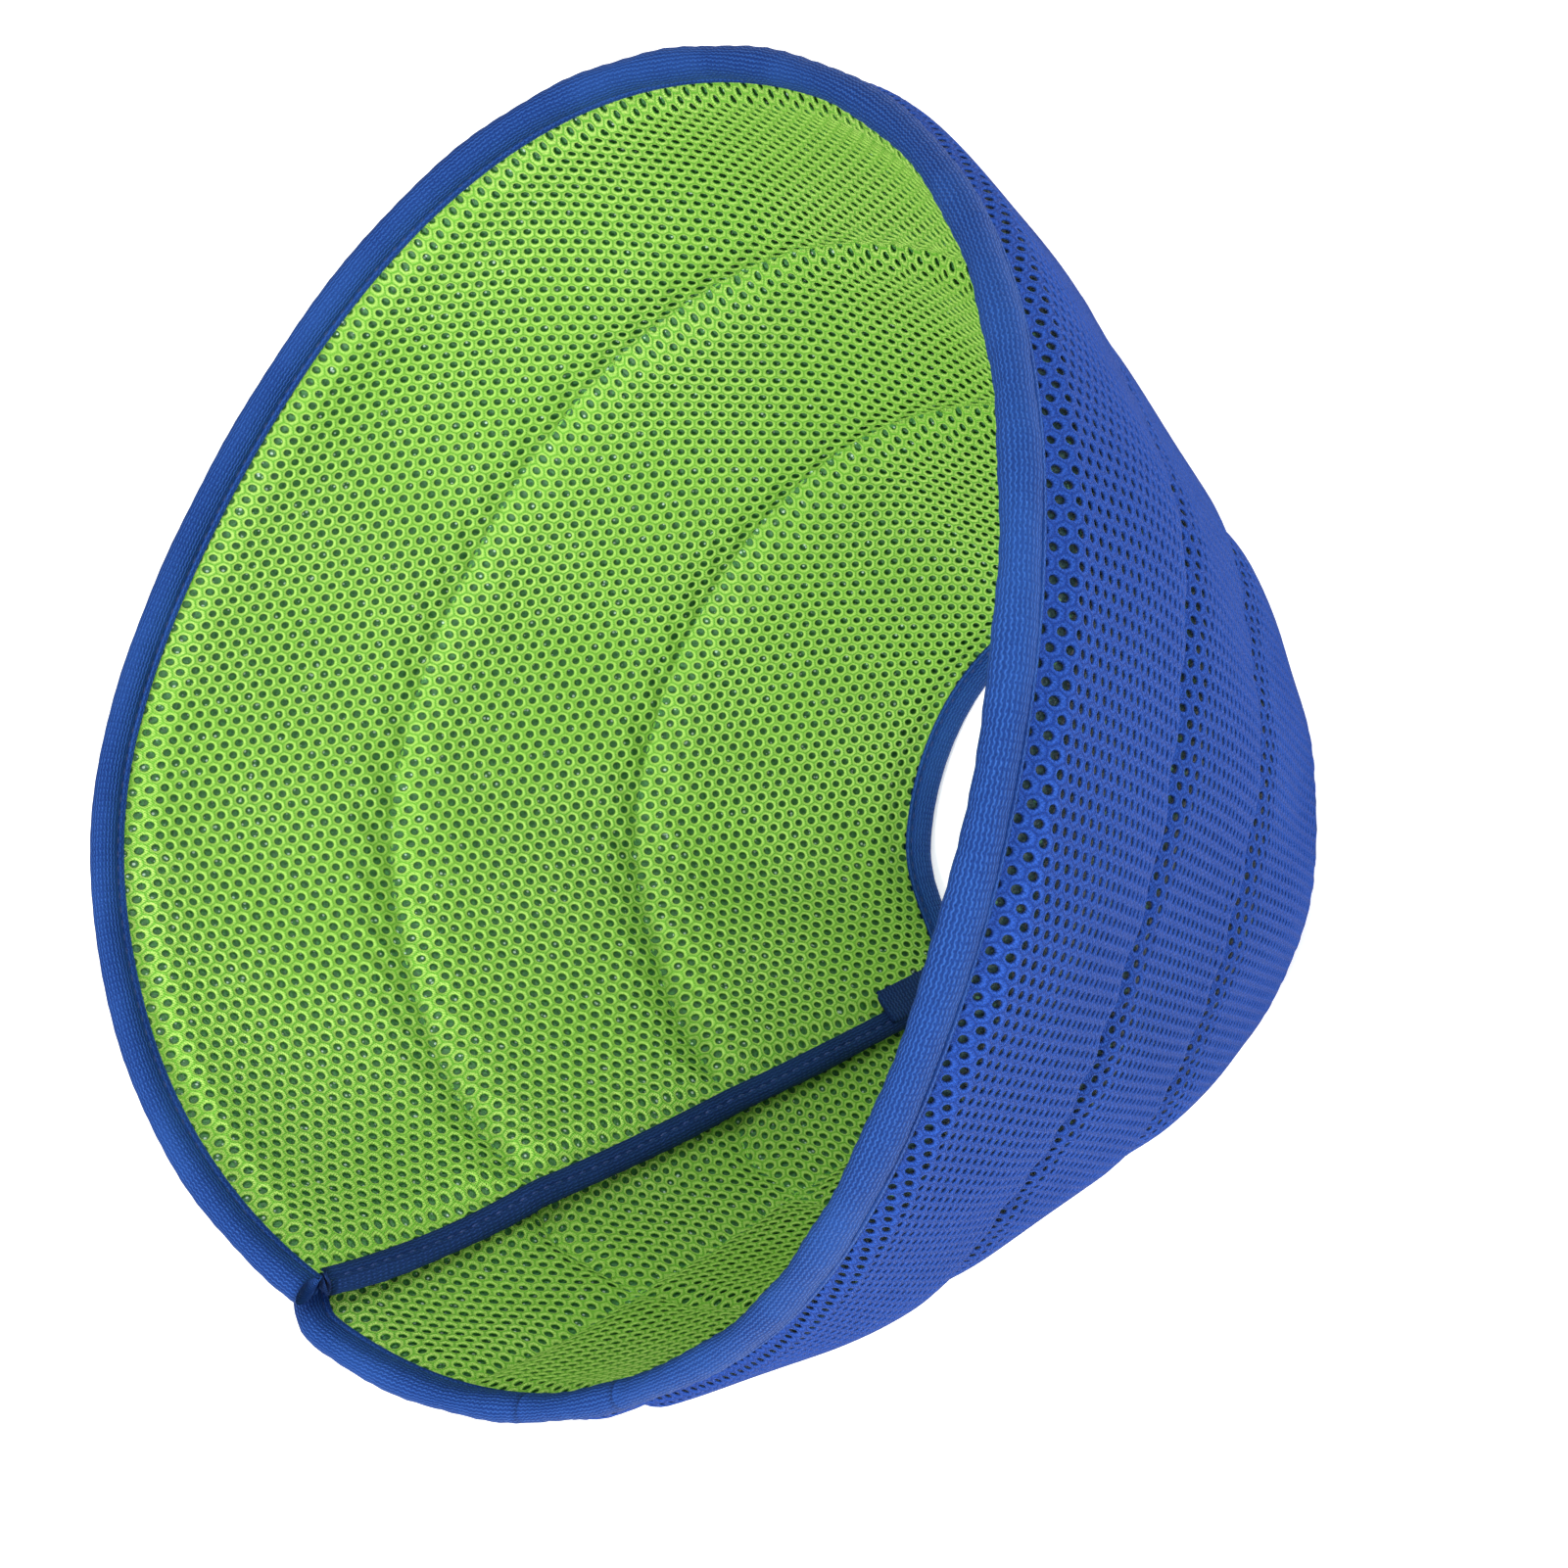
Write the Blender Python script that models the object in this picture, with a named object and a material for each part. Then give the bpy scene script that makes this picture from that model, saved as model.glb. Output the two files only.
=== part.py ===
"""Soft padded cone collar for a dog: a quilted air-mesh panel lapped into a cone, with a folding outer flap.

The collar stands on its neck edge, mouth up. The origin is on the floor under the middle of the collar.
A place on the panel is given by an angle round the cone (degrees, counter-clockwise from +X), a share of the
way from the neck edge (0) to the mouth edge (1), and a depth from the middle of the panel (positive outward).
The panel runs from the outer flap's end at about -100 degrees, once round, to its inner end at 270 degrees.
"""

import math

import bmesh
import bpy
from mathutils import Vector

# Driving dimensions, in metres and degrees
NECK_EDGE = (0.0645, 0.0020)        # radius and height of the panel's middle surface
LOWER_SEAM = (0.1015, 0.0710)
UPPER_SEAM = (0.1270, 0.1260)
MOUTH_EDGE = (0.1500, 0.1910)
BAND_BOW = (0.0013, 0.0010, 0.0032)  # how far each band bows out of its cone, from the neck up
MOUTH_SHIFT = (-0.0075, 0.0079)      # the mouth's middle, seen from above, from the neck's
NECK_SHIFT = (0.0044, 0.0018)       # the neck's middle from the origin
OVAL = (0.043, 134.5)                # share of the mouth radius, and phase in degrees
EGG = (0.050, 75.5)
RIM_WAVE = (0.0225, 65.8)            # rise and fall of the mouth edge, and phase
RIM_RIPPLE = (0.0048, 32.4)

INNER_END = (270.0, 254.0)           # angles at the mouth edge and at the neck edge
FOLD_B = (-57.0, -71.5)
FOLD_A = (-76.0, -90.5)
FLAP_END = (-100.0, -120.0)
FLAP_CORNER = 0.013                  # radius of the flap's two corners

INNER_LAP = -0.0050                  # level steps: the inner end goes in, the outer flap goes out
OUTER_LAP = 0.0062
INNER_LAP_FADE = (212.0, 240.0)
OUTER_LAP_FADE = (-44.0, -86.0)
RIM_DROP = 0.030                     # share of the height that the lapped flap's rim sits lower
END_DROP = 0.075                     # and how much more its end dips behind the inner end
END_DROP_FADE = (-88.5, -100.0)

HALF_CENTRE = 0.00375                # half the panel's thickness at the middle of a band
HALF_SEAM = 0.0016                   # on a seam
HALF_EDGE = 0.0022                   # under the binding
PUFF_RUN = 0.014                     # distance from a seam to full thickness
FABRIC = 0.0012
GAP = 0.0004
FOLD_GAP = 0.0006

BINDING_LEG = 0.0090
BINDING_INSIDE = 0.0028              # half the width of the tape's fold, inside and outside
BINDING_OUTSIDE = 0.0038
BINDING_ROLL = 0.0028                # how far the fold stands past the panel's edge
SEAM_RUN = 0.007                     # grid lines beside a seam and beside a binding's leg
EDGE_RUN = BINDING_LEG + 0.0005
THREAD_WIDTH = 0.0011
THREAD_HEIGHT = 0.0006
STITCH_RUN = BINDING_LEG - 0.0022    # from a bound edge to its stitching
HOOK_WIDTH = 0.025
HOOK_THICKNESS = 0.0014
HOOK_ANGLES = (236.0, 263.0)

BLUE = (0.030, 0.092, 0.46)
DEEP_BLUE = (0.016, 0.045, 0.27)
BRIGHT_BLUE = (0.045, 0.135, 0.60)
GREEN = (0.20, 0.50, 0.045)
FOAM_WHITE = (0.80, 0.80, 0.76)
HOOK_BLACK = (0.012, 0.012, 0.014)
THREAD_BLUE = (0.02, 0.07, 0.36)
THREAD_GREEN = (0.30, 0.58, 0.10)

STATIONS = (NECK_EDGE, LOWER_SEAM, UPPER_SEAM, MOUTH_EDGE)
BANDS = ("neck", "middle", "rim")
FULL_HEIGHT = math.hypot(MOUTH_EDGE[0] - NECK_EDGE[0], MOUTH_EDGE[1] - NECK_EDGE[1])


def grid_shares():
    """Heights of grid lines over the whole panel, closer together by seams and edges."""
    seam, edge, past_edge = (run / FULL_HEIGHT for run in (SEAM_RUN, EDGE_RUN, EDGE_RUN + 0.006))
    return [0.0, edge, past_edge, 1 / 6 + 0.03, 1 / 3 - seam, 1 / 3, 1 / 3 + seam, 1 / 2,
            2 / 3 - seam, 2 / 3, 2 / 3 + seam, 5 / 6 - 0.03, 1.0 - past_edge, 1.0 - edge, 1.0]


GRID = grid_shares()


def smooth(value):
    """Smooth step from 0 to 1."""
    value = min(max(value, 0.0), 1.0)
    return value * value * (3.0 - 2.0 * value)


def fade(angle, start, end):
    """0 before the start angle, 1 past the end angle."""
    return smooth((angle - start) / (end - start))


# --- the panel's shape -------------------------------------------------------------------------------------

def profile(share):
    """Radius and height of the middle surface before the mouth's oval."""
    band = min(int(share * 3.0), 2)
    along = share * 3.0 - band
    (r0, z0), (r1, z1) = STATIONS[band], STATIONS[band + 1]
    length = math.hypot(r1 - r0, z1 - z0)
    bow = BAND_BOW[band] * 4.0 * along * (1.0 - along)
    radius = r0 + (r1 - r0) * along + bow * (z1 - z0) / length
    height = z0 + (z1 - z0) * along - bow * (r1 - r0) / length
    return radius, height


def outward(share):
    """Unit normal of the profile, out and down."""
    r0, z0 = profile(max(share - 0.02, 0.0))
    r1, z1 = profile(min(share + 0.02, 1.0))
    length = math.hypot(r1 - r0, z1 - z0)
    return (z1 - z0) / length, -(r1 - r0) / length


def wave(size_and_phase, turns, angle):
    size, phase = size_and_phase
    return size * math.cos(math.radians(turns * angle - phase))


def lap(angle):
    return INNER_LAP * fade(angle, *INNER_LAP_FADE) + OUTER_LAP * fade(angle, *OUTER_LAP_FADE)


def place(angle, share, depth=0.0):
    """World point on the panel."""
    drop = RIM_DROP * fade(angle, *OUTER_LAP_FADE) + END_DROP * fade(angle, *END_DROP_FADE)
    share_in_layer = share * (1.0 - drop)
    radius, height = profile(share_in_layer)
    out_r, out_z = outward(share_in_layer)
    stretch = 1.0 + share * (wave(OVAL, 2, angle) + wave(EGG, 3, angle))
    radius = (radius + out_r * depth + lap(angle)) * stretch
    height = height + out_z * depth + share * (wave(RIM_WAVE, 2, angle) + wave(RIM_RIPPLE, 3, angle))
    x = radius * math.cos(math.radians(angle)) + NECK_SHIFT[0] + MOUTH_SHIFT[0] * share
    y = radius * math.sin(math.radians(angle)) + NECK_SHIFT[1] + MOUTH_SHIFT[1] * share
    return Vector((x, y, height))


def grid_place(angle, share, depth=None):
    """World point on the straight facet between the two grid heights around this share."""
    index = max(i for i in range(len(GRID) - 1) if GRID[i] <= max(share, 0.0))
    low, high = GRID[index], GRID[index + 1]
    way = (share - low) / (high - low)
    ends = [place(angle, at, depth(angle, at) if depth else 0.0) for at in (low, high)]
    return ends[0].lerp(ends[1], way)


def seam_angle(ends, share):
    """Angle at this height of a seam that looks straight from above, from its angles at mouth and neck."""
    mouth, neck = (math.radians(angle) for angle in ends)
    way = (profile(share)[0] - NECK_EDGE[0]) / (MOUTH_EDGE[0] - NECK_EDGE[0])
    turn = mouth - neck
    x = NECK_EDGE[0] * (1.0 - way) + MOUTH_EDGE[0] * way * math.cos(turn)
    y = MOUTH_EDGE[0] * way * math.sin(turn)
    return math.degrees(neck + math.atan2(y, x))


def degrees_of(distance, share):
    return math.degrees(distance / profile(share)[0])


def edge_distance(to_rim, to_end, rounded):
    """Distance to the nearer of two edges that meet in a square or rounded corner."""
    if rounded and to_rim < FLAP_CORNER and to_end < FLAP_CORNER:
        return FLAP_CORNER - math.hypot(FLAP_CORNER - to_rim, FLAP_CORNER - to_end)
    return min(to_rim, to_end)


def half_thickness(angle, share, folds, edges):
    """Half the panel's thickness, pinched on seams and folds and pressed flat under the bindings."""
    rise = share * FULL_HEIGHT
    seams = [abs(share - line) * FULL_HEIGHT for line in (1 / 3, 2 / 3)]
    puff = math.sin(math.pi / 2 * min(min(seams) / PUFF_RUN, 1.0))
    for fold in folds:
        run = math.radians(abs(angle - seam_angle(fold, share))) * profile(share)[0]
        puff *= math.sin(math.pi / 2 * min(run / PUFF_RUN, 1.0))
    half = HALF_SEAM + (HALF_CENTRE - HALF_SEAM) * puff
    to_edge = min(rise, FULL_HEIGHT - rise)
    for edge in edges:
        run = math.radians(abs(angle - seam_angle(edge, share))) * profile(share)[0]
        to_edge = edge_distance(to_edge, run, edge is FLAP_END)
    flat = 1.0 - smooth((to_edge - BINDING_LEG) / 0.006)
    return half + (min(half, HALF_EDGE) - half) * flat


# --- mesh helpers ------------------------------------------------------------------------------------------

def material(name, colour, roughness=0.85):
    made = bpy.data.materials.get(name)
    if made is None:
        made = bpy.data.materials.new(name)
        made.use_nodes = True
        shader = made.node_tree.nodes["Principled BSDF"]
        shader.inputs["Base Color"].default_value = (*colour, 1.0)
        shader.inputs["Roughness"].default_value = roughness
        shader.inputs["Metallic"].default_value = 0.0
    return made


def finish(name, vertices, faces, finish_material, parent):
    """Make one object from world points, hung on its parent without moving it."""
    base = Vector(parent["world"]) if parent else Vector()
    mesh = bpy.data.meshes.new(name)
    mesh.from_pydata([tuple(point - base) for point in vertices], [], faces)
    shape = bmesh.new()
    shape.from_mesh(mesh)
    bmesh.ops.triangulate(shape, faces=shape.faces)
    bmesh.ops.recalc_face_normals(shape, faces=shape.faces)
    if shape.calc_volume(signed=True) < 0.0:
        bmesh.ops.reverse_faces(shape, faces=shape.faces)
    shape.to_mesh(mesh)
    shape.free()
    mesh.shade_smooth()
    mesh.set_sharp_from_angle(angle=math.radians(40.0))
    mesh.materials.append(finish_material)
    made = bpy.data.objects.new(name, mesh)
    bpy.context.scene.collection.objects.link(made)
    made.parent = parent
    return made


def slab(name, columns, shares, low, high, finish_material, parent=None):
    """Closed sheet between two depths over a grid: columns and shares are lists of functions and numbers."""
    tall = len(shares)
    vertices = []
    for depth in (low, high):
        for column in columns:
            vertices += [grid_place(*column(share), depth) for share in shares]
    layer = len(columns) * tall
    faces = []
    for i in range(len(columns) - 1):
        for j in range(tall - 1):
            a, b = i * tall + j, (i + 1) * tall + j
            for base, order in ((0, 1), (layer, -1)):
                faces.append(tuple(base + k for k in (a, a + 1, b + 1)[::order]))
                faces.append(tuple(base + k for k in (a, b + 1, b)[::order]))
    rim = [i * tall for i in range(len(columns))]
    rim += [layer - tall + j for j in range(1, tall)]
    rim += [i * tall + tall - 1 for i in range(len(columns) - 2, -1, -1)]
    rim += list(range(tall - 2, 0, -1))
    for a, b in zip(rim, rim[1:] + rim[:1]):
        faces.append((a, b, layer + b, layer + a))
    return finish(name, vertices, faces, finish_material, parent)


def ribbon(name, path, width, low, high, finish_material, parent=None):
    """Closed strip along a path of (angle, share) points, between two depths."""
    middle = [grid_place(angle, share, low) for angle, share in path]
    vertices = []
    for index, (angle, share) in enumerate(path):
        ahead = middle[min(index + 1, len(path) - 1)] - middle[max(index - 1, 0)]
        base, top = middle[index], grid_place(angle, share, high)
        side = ahead.cross(top - base).normalized() * (width / 2.0)
        vertices += [base - side, base + side, top + side, top - side]
    return finish(name, vertices, tube_faces(len(path), 4), finish_material, parent)


def tube_faces(rings, around):
    faces = []
    for ring in range(rings - 1):
        for k in range(around):
            a, b = ring * around + k, ring * around + (k + 1) % around
            faces.append((a, b, b + around, a + around))
    faces.append(tuple(range(around)))
    faces.append(tuple(range((rings - 1) * around, rings * around)))
    return faces


def step_along(angle, share, direction):
    """Change of (angle, share) that moves one metre along a direction in the panel's surface."""
    here = place(angle, share)
    per_degree = (place(angle + 0.05, share) - here) / 0.05
    per_share = (place(angle, share + 0.001) - here) / 0.001
    aa, bb, ab = per_degree.dot(per_degree), per_share.dot(per_share), per_degree.dot(per_share)
    a, b = per_degree.dot(direction), per_share.dot(direction)
    scale = aa * bb - ab * ab
    return (a * bb - b * ab) / scale, (b * aa - a * ab) / scale


def binding(name, path, finish_material, parent=None, floor=None):
    """Tape folded over an edge: a U section swept along (angle, share) points, panel on the path's left."""
    inner, outer = BINDING_INSIDE, BINDING_OUTSIDE
    section = ((BINDING_LEG, outer), (0.001, outer), (-0.0022, outer * 0.72), (-BINDING_ROLL, 0.0),
               (-0.0022, -outer * 0.72), (0.001, -outer), (BINDING_LEG, -outer), (BINDING_LEG, -inner),
               (-GAP, -inner), (-GAP, inner), (BINDING_LEG, inner))
    middle = [place(angle, share) for angle, share in path]
    vertices = []
    for index, (angle, share) in enumerate(path):
        ahead = (middle[min(index + 1, len(path) - 1)] - middle[max(index - 1, 0)]).normalized()
        normal = (place(angle, share, 0.001) - middle[index]).normalized()
        turn, climb = step_along(angle, share, normal.cross(ahead).normalized())
        for along, out in section:
            point = place(angle + turn * along, share + climb * along, out)
            if floor is not None:
                point.z = max(point.z, floor)
            vertices.append(point)
    return finish(name, vertices, tube_faces(len(path), len(section)), finish_material, parent)


# --- the three stretches of the panel ----------------------------------------------------------------------

def edge_column(ends, distance, corner=False):
    """Column at a distance from a seam or end; a corner column stays inside the flap's rounded corner."""
    def column(share):
        drop = corner_drop(abs(distance)) if corner else 0.0
        at = share
        if share < 1 / 6:
            at = drop + share * (1.0 - 6.0 * drop)
        elif share > 5 / 6:
            at = 1.0 - drop - (1.0 - share) * (1.0 - 6.0 * drop)
        return seam_angle(ends, at) + degrees_of(distance, at), at
    return column


def corner_drop(run):
    """Share of the height that the rounded corner takes off at this distance from the flap's end."""
    if run >= FLAP_CORNER:
        return 0.0
    return (FLAP_CORNER - math.sqrt(FLAP_CORNER ** 2 - (FLAP_CORNER - run) ** 2)) / FULL_HEIGHT


def between(first, last, count):
    """Columns evenly spread between two columns, both included."""
    def column_at(way):
        def column(share):
            (a, at_a), (b, at_b) = first(share), last(share)
            return a + (b - a) * way, at_a + (at_b - at_a) * way
        return column
    return [column_at(i / (count - 1)) for i in range(count)]


def foam_shares(band):
    """Heights of one band's foam, clear of the seams and of the bound edges."""
    near, edge = 0.0045 / FULL_HEIGHT, 0.0025 / FULL_HEIGHT
    low = band / 3 + (edge if band == 0 else near)
    high = (band + 1) / 3 - (edge if band == 2 else near)
    return [low] + [share for share in GRID if low + 0.001 < share < high - 0.001] + [high]


def panel(label, columns, foam_columns, folds, edges, parent=None):
    """Fabrics and foams of one stretch; gives back its half thickness as a function."""
    def half(angle, share):
        return half_thickness(angle, share, folds, edges)

    def foam_half(angle, share):
        return half(angle, share) - FABRIC - GAP

    slab("outer_mesh_" + label, columns, GRID, lambda a, s: half(a, s) - FABRIC, half,
         material("outer_mesh", BLUE, 0.9), parent)
    slab("lining_mesh_" + label, columns, GRID, lambda a, s: -half(a, s), lambda a, s: FABRIC - half(a, s),
         material("lining_mesh", GREEN, 0.9), parent)
    for band, band_name in enumerate(BANDS):
        slab(f"foam_{band_name}_{label}", foam_columns, foam_shares(band), lambda a, s: -foam_half(a, s),
             foam_half, material("foam", FOAM_WHITE, 0.95), parent)
    return half


def along(columns, share):
    """Points where the columns cross one height."""
    return [column(share) for column in columns]


def quilt_threads(label, columns, half, parent=None):
    """Top and bobbin threads of the two quilting seams over one stretch."""
    for seam_name, share in (("lower", 1 / 3), ("upper", 2 / 3)):
        thread_pair(f"{seam_name}_seam", label, along(columns, share), half, parent)


def thread_pair(name, label, path, half, parent):
    for side, side_name, thread in ((1, "top", THREAD_BLUE), (-1, "bobbin", THREAD_GREEN)):
        ribbon(f"{name}_{side_name}_thread_{label}", path, THREAD_WIDTH,
               lambda a, s: side * (half(a, s) + GAP), lambda a, s: side * (half(a, s) + GAP + THREAD_HEIGHT),
               material(f"thread_{side_name}", thread), parent)


def edge_thread(name, path, parent=None):
    """Stitching of a binding, on its lining side near the leg's end."""
    top = BINDING_OUTSIDE + GAP
    ribbon(name, path, THREAD_WIDTH, lambda a, s: -top, lambda a, s: -top - THREAD_HEIGHT,
           material("thread_edge", THREAD_BLUE), parent)


def hinge(name, fold, parent=None):
    """Empty on a fold's axis: parallel to the seam's chord and just clear of the panel's outside."""
    samples = [place(seam_angle(fold, i / 12), i / 12, HALF_CENTRE + 0.0006) for i in range(13)]
    axis = (samples[-1] - samples[0]).normalized()
    out = place(seam_angle(fold, 0.5), 0.5, 0.001) - place(seam_angle(fold, 0.5), 0.5)
    out = (out - axis * out.dot(axis)).normalized()
    lift = max((point - samples[0]).dot(out) for point in samples)
    pivot = samples[6] + out * (lift - (samples[6] - samples[0]).dot(out))
    empty = bpy.data.objects.new(name, None)
    bpy.context.scene.collection.objects.link(empty)
    empty["world"] = tuple(pivot)
    empty["axis"] = tuple(axis)
    base = Vector(parent["world"]) if parent else Vector()
    empty.location = pivot - base
    empty.parent = parent
    return empty


def build_body():
    """The long stretch from fold B to the inner end, which the floor carries."""
    start, end = edge_column(FOLD_B, FOLD_GAP / 2.0), edge_column(INNER_END, -0.0002)
    middle = between(edge_column(FOLD_B, 0.008), edge_column(INNER_END, -EDGE_RUN), 36)
    columns = [start] + middle + [end]
    foam_columns = middle + [edge_column(INNER_END, -0.0025)]
    half = panel("body", columns, foam_columns, [FOLD_B], [INNER_END])
    tape = material("binding", BRIGHT_BLUE, 0.8)
    binding("rim_binding_body", along(columns, 1.0)[::-1], tape)
    binding("neck_binding_body", along(columns, 0.0), tape, floor=0.0)
    clear = (BINDING_LEG + GAP * 2.0) / FULL_HEIGHT
    shares = [clear] + [share for share in GRID if clear < share < 1.0 - clear] + [1.0 - clear]
    end_path = [(seam_angle(INNER_END, share), share) for share in shares]
    binding("inner_end_binding", end_path, material("end_binding", DEEP_BLUE, 0.8))
    quilt_threads("body", [edge_column(FOLD_B, 0.004)] + middle[:-1], half)
    stitch = STITCH_RUN / FULL_HEIGHT
    edge_thread("rim_binding_thread", along([edge_column(FOLD_B, 0.002)] + middle, 1.0 - stitch))
    edge_thread("neck_binding_thread", along([edge_column(FOLD_B, 0.002)] + middle[:-1], stitch))
    edge_thread("inner_end_thread", [(seam_angle(INNER_END, share) - degrees_of(STITCH_RUN, share), share)
                                     for share in shares if 0.17 < share < 0.93])
    build_tab()
    build_hooks(half)


def build_tab():
    """Tape end folded over the inner end's neck corner, on the lining side."""
    face = BINDING_OUTSIDE + GAP
    columns = between(edge_column(INNER_END, -0.0105), edge_column(INNER_END, 0.0004), 3)
    shares = [(0.0100 + 0.0130 * i / 3) / FULL_HEIGHT for i in range(4)]
    slab("neck_corner_tab", columns, shares, lambda a, s: -face - 0.0018, lambda a, s: -face,
         material("end_binding", DEEP_BLUE, 0.8))


def build_hooks(half):
    """Hook tapes on the outside of the inner end, one on each band."""
    for band, band_name in enumerate(BANDS):
        middle = (band + 0.5) / 3.0
        reach = HOOK_WIDTH / 2.0 / FULL_HEIGHT
        shares = [middle - reach + 2.0 * reach * i / 4 for i in range(5)]
        columns = between(lambda s: (HOOK_ANGLES[0] - 6.0 * (1.0 - s), s),
                          lambda s: (seam_angle(INNER_END, s) - degrees_of(BINDING_LEG + 0.004, s), s), 6)
        slab(f"hook_tape_{band_name}", columns, shares, lambda a, s: half(a, s) + GAP,
             lambda a, s: half(a, s) + GAP + HOOK_THICKNESS, material("hook_tape", HOOK_BLACK, 0.95))


def build_middle(parent):
    """The flap's stretch between the two folds."""
    first, last = edge_column(FOLD_A, FOLD_GAP / 2.0), edge_column(FOLD_B, -FOLD_GAP / 2.0)
    middle = between(edge_column(FOLD_A, 0.008), edge_column(FOLD_B, -0.008), 4)
    columns = [first] + middle + [last]
    half = panel("fold", columns, middle, [FOLD_A, FOLD_B], [], parent)
    tape = material("binding", BRIGHT_BLUE, 0.8)
    binding("rim_binding_fold", along(columns, 1.0)[::-1], tape, parent)
    binding("neck_binding_fold", along(columns, 0.0), tape, parent, 0.0)
    quilt_threads("fold", middle, half, parent)
    fold_threads("fold_b", FOLD_B, half, parent)


def build_end(parent):
    """The flap's last stretch, with rounded corners and one tape round its three edges."""
    corner = [edge_column(FLAP_END, run, True) for run in (0.0002, 0.0012, 0.0045, EDGE_RUN)]
    middle = between(edge_column(FLAP_END, 0.016), edge_column(FOLD_A, -0.008), 3)
    columns = corner + middle + [edge_column(FOLD_A, -FOLD_GAP / 2.0)]
    half = panel("end", columns, corner[2:] + middle, [FOLD_A], [FLAP_END], parent)
    drop = corner_drop(0.0)
    shares = [drop] + [share for share in GRID if drop < share < 1.0 - drop] + [1.0 - drop]
    side = [(seam_angle(FLAP_END, share), share) for share in shares]
    outline = along(columns, 0.0)[::-1] + side + along(columns, 1.0)
    binding("flap_end_binding", outline[::-1], material("binding", BRIGHT_BLUE, 0.8), parent, 0.0)
    quilt_threads("end", middle, half, parent)
    fold_threads("fold_a", FOLD_A, half, parent)


def fold_threads(name, fold, half, parent):
    """Top and bobbin thread down one fold seam, on the flap's side of the fold."""
    clear = (BINDING_LEG + 0.002) / FULL_HEIGHT
    shares = [clear] + [share for share in GRID if clear < share < 1.0 - clear] + [1.0 - clear]
    path = [(seam_angle(fold, share) - degrees_of(0.0016, share), share) for share in shares]
    thread_pair(name, "seam", path, half, parent)


def main():
    for old in list(bpy.data.objects):
        bpy.data.objects.remove(old)
    build_body()
    hinge_b = hinge("fold_b_axis", FOLD_B)
    build_middle(hinge_b)
    hinge_a = hinge("fold_a_axis", FOLD_A, hinge_b)
    build_end(hinge_a)


main()
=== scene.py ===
"""Scene for the soft padded cone collar: quilted air mesh, bound edges, folding flap and hook tapes.

Lengths are in metres and angles in degrees. A place on the panel is an angle round the cone, a share of the
way from the neck edge (0) to the mouth edge (1), and a depth from the panel's middle, positive outward.
"""
import math

import bpy
import numpy as np
from mathutils import Matrix, Vector


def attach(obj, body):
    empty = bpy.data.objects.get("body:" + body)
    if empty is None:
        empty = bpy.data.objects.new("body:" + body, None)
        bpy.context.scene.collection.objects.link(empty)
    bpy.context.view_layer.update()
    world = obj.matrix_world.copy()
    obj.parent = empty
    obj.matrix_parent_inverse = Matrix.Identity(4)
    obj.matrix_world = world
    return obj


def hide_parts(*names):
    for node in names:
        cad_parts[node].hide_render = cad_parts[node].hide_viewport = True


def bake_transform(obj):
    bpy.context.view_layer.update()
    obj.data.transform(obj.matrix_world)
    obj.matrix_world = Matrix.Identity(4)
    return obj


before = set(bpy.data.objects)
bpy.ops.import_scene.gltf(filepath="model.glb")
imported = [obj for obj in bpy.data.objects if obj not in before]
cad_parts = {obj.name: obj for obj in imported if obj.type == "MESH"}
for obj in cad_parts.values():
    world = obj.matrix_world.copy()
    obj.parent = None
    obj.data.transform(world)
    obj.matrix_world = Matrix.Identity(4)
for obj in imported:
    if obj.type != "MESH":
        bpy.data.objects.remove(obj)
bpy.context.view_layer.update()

# --- the panel's shape, as in the CAD ----------------------------------------------------------------------
STATIONS = np.array(((0.0645, 0.0020), (0.1015, 0.0710), (0.1270, 0.1260), (0.1500, 0.1910)))
BAND_BOW = np.array((0.0013, 0.0010, 0.0032))
MOUTH_SHIFT = (-0.0075, 0.0079)
NECK_SHIFT = (0.0044, 0.0018)
OVAL, EGG = (0.043, 134.5), (0.050, 75.5)
RIM_WAVE, RIM_RIPPLE = (0.0225, 65.8), (0.0048, 32.4)
INNER_END = (270.0, 254.0)           # angles at the mouth edge and at the neck edge
FOLD_B = (-57.0, -71.5)
FOLD_A = (-76.0, -90.5)
FLAP_END = (-100.0, -120.0)
BETWEEN_FOLDS = (-66.5, -81.0)
FLAP_CORNER = 0.013
INNER_LAP, OUTER_LAP = -0.0050, 0.0062
INNER_LAP_FADE, OUTER_LAP_FADE = (212.0, 240.0), (-44.0, -86.0)
RIM_DROP, END_DROP = 0.030, 0.075
END_DROP_FADE = (-88.5, -100.0)
BANDS = ("neck", "middle", "rim")
SPAN = math.hypot(*(STATIONS[3] - STATIONS[0]))

# --- thicknesses of the sewn sandwich ----------------------------------------------------------------------
HALF_CENTRE, HALF_SEAM, HALF_EDGE = 0.0041, 0.0005, 0.0018
PUFF_RUN = 0.0115                    # from a seam to full thickness
CREASE = 0.62                        # below 1 the faces meet a seam in a sharp groove
SWELL = 0.0010                       # extra puff where no other layer lies against the face
BINDING_LEG = 0.0058
BACKING_DROP = 0.0013                # from a mesh face down to its spacer layer
LINING_HOLES = (0.00345, 45.0, 0.00122)      # pitch, turn of the rows and radius of the mesh's holes
OUTER_HOLES = (0.0031, -46.0, 0.00104)
BEND = 0.006                         # half the width of the soft bend at a fold
BEND_CLEAR = 0.008                   # from a fold seam to the cut between two stretches

SLANTS = np.concatenate(([0.0], np.cumsum(np.hypot(*np.diff(STATIONS, axis=0).T))))
CONE_SINE = (STATIONS[3, 0] - STATIONS[0, 0]) / SLANTS[3]
FLAT_NECK = STATIONS[0, 0] / CONE_SINE


def smooth(value):
    """Ease from 0 to 1, flat at both ends."""
    value = np.clip(value, 0.0, 1.0)
    return value * value * (3.0 - 2.0 * value)


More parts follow.
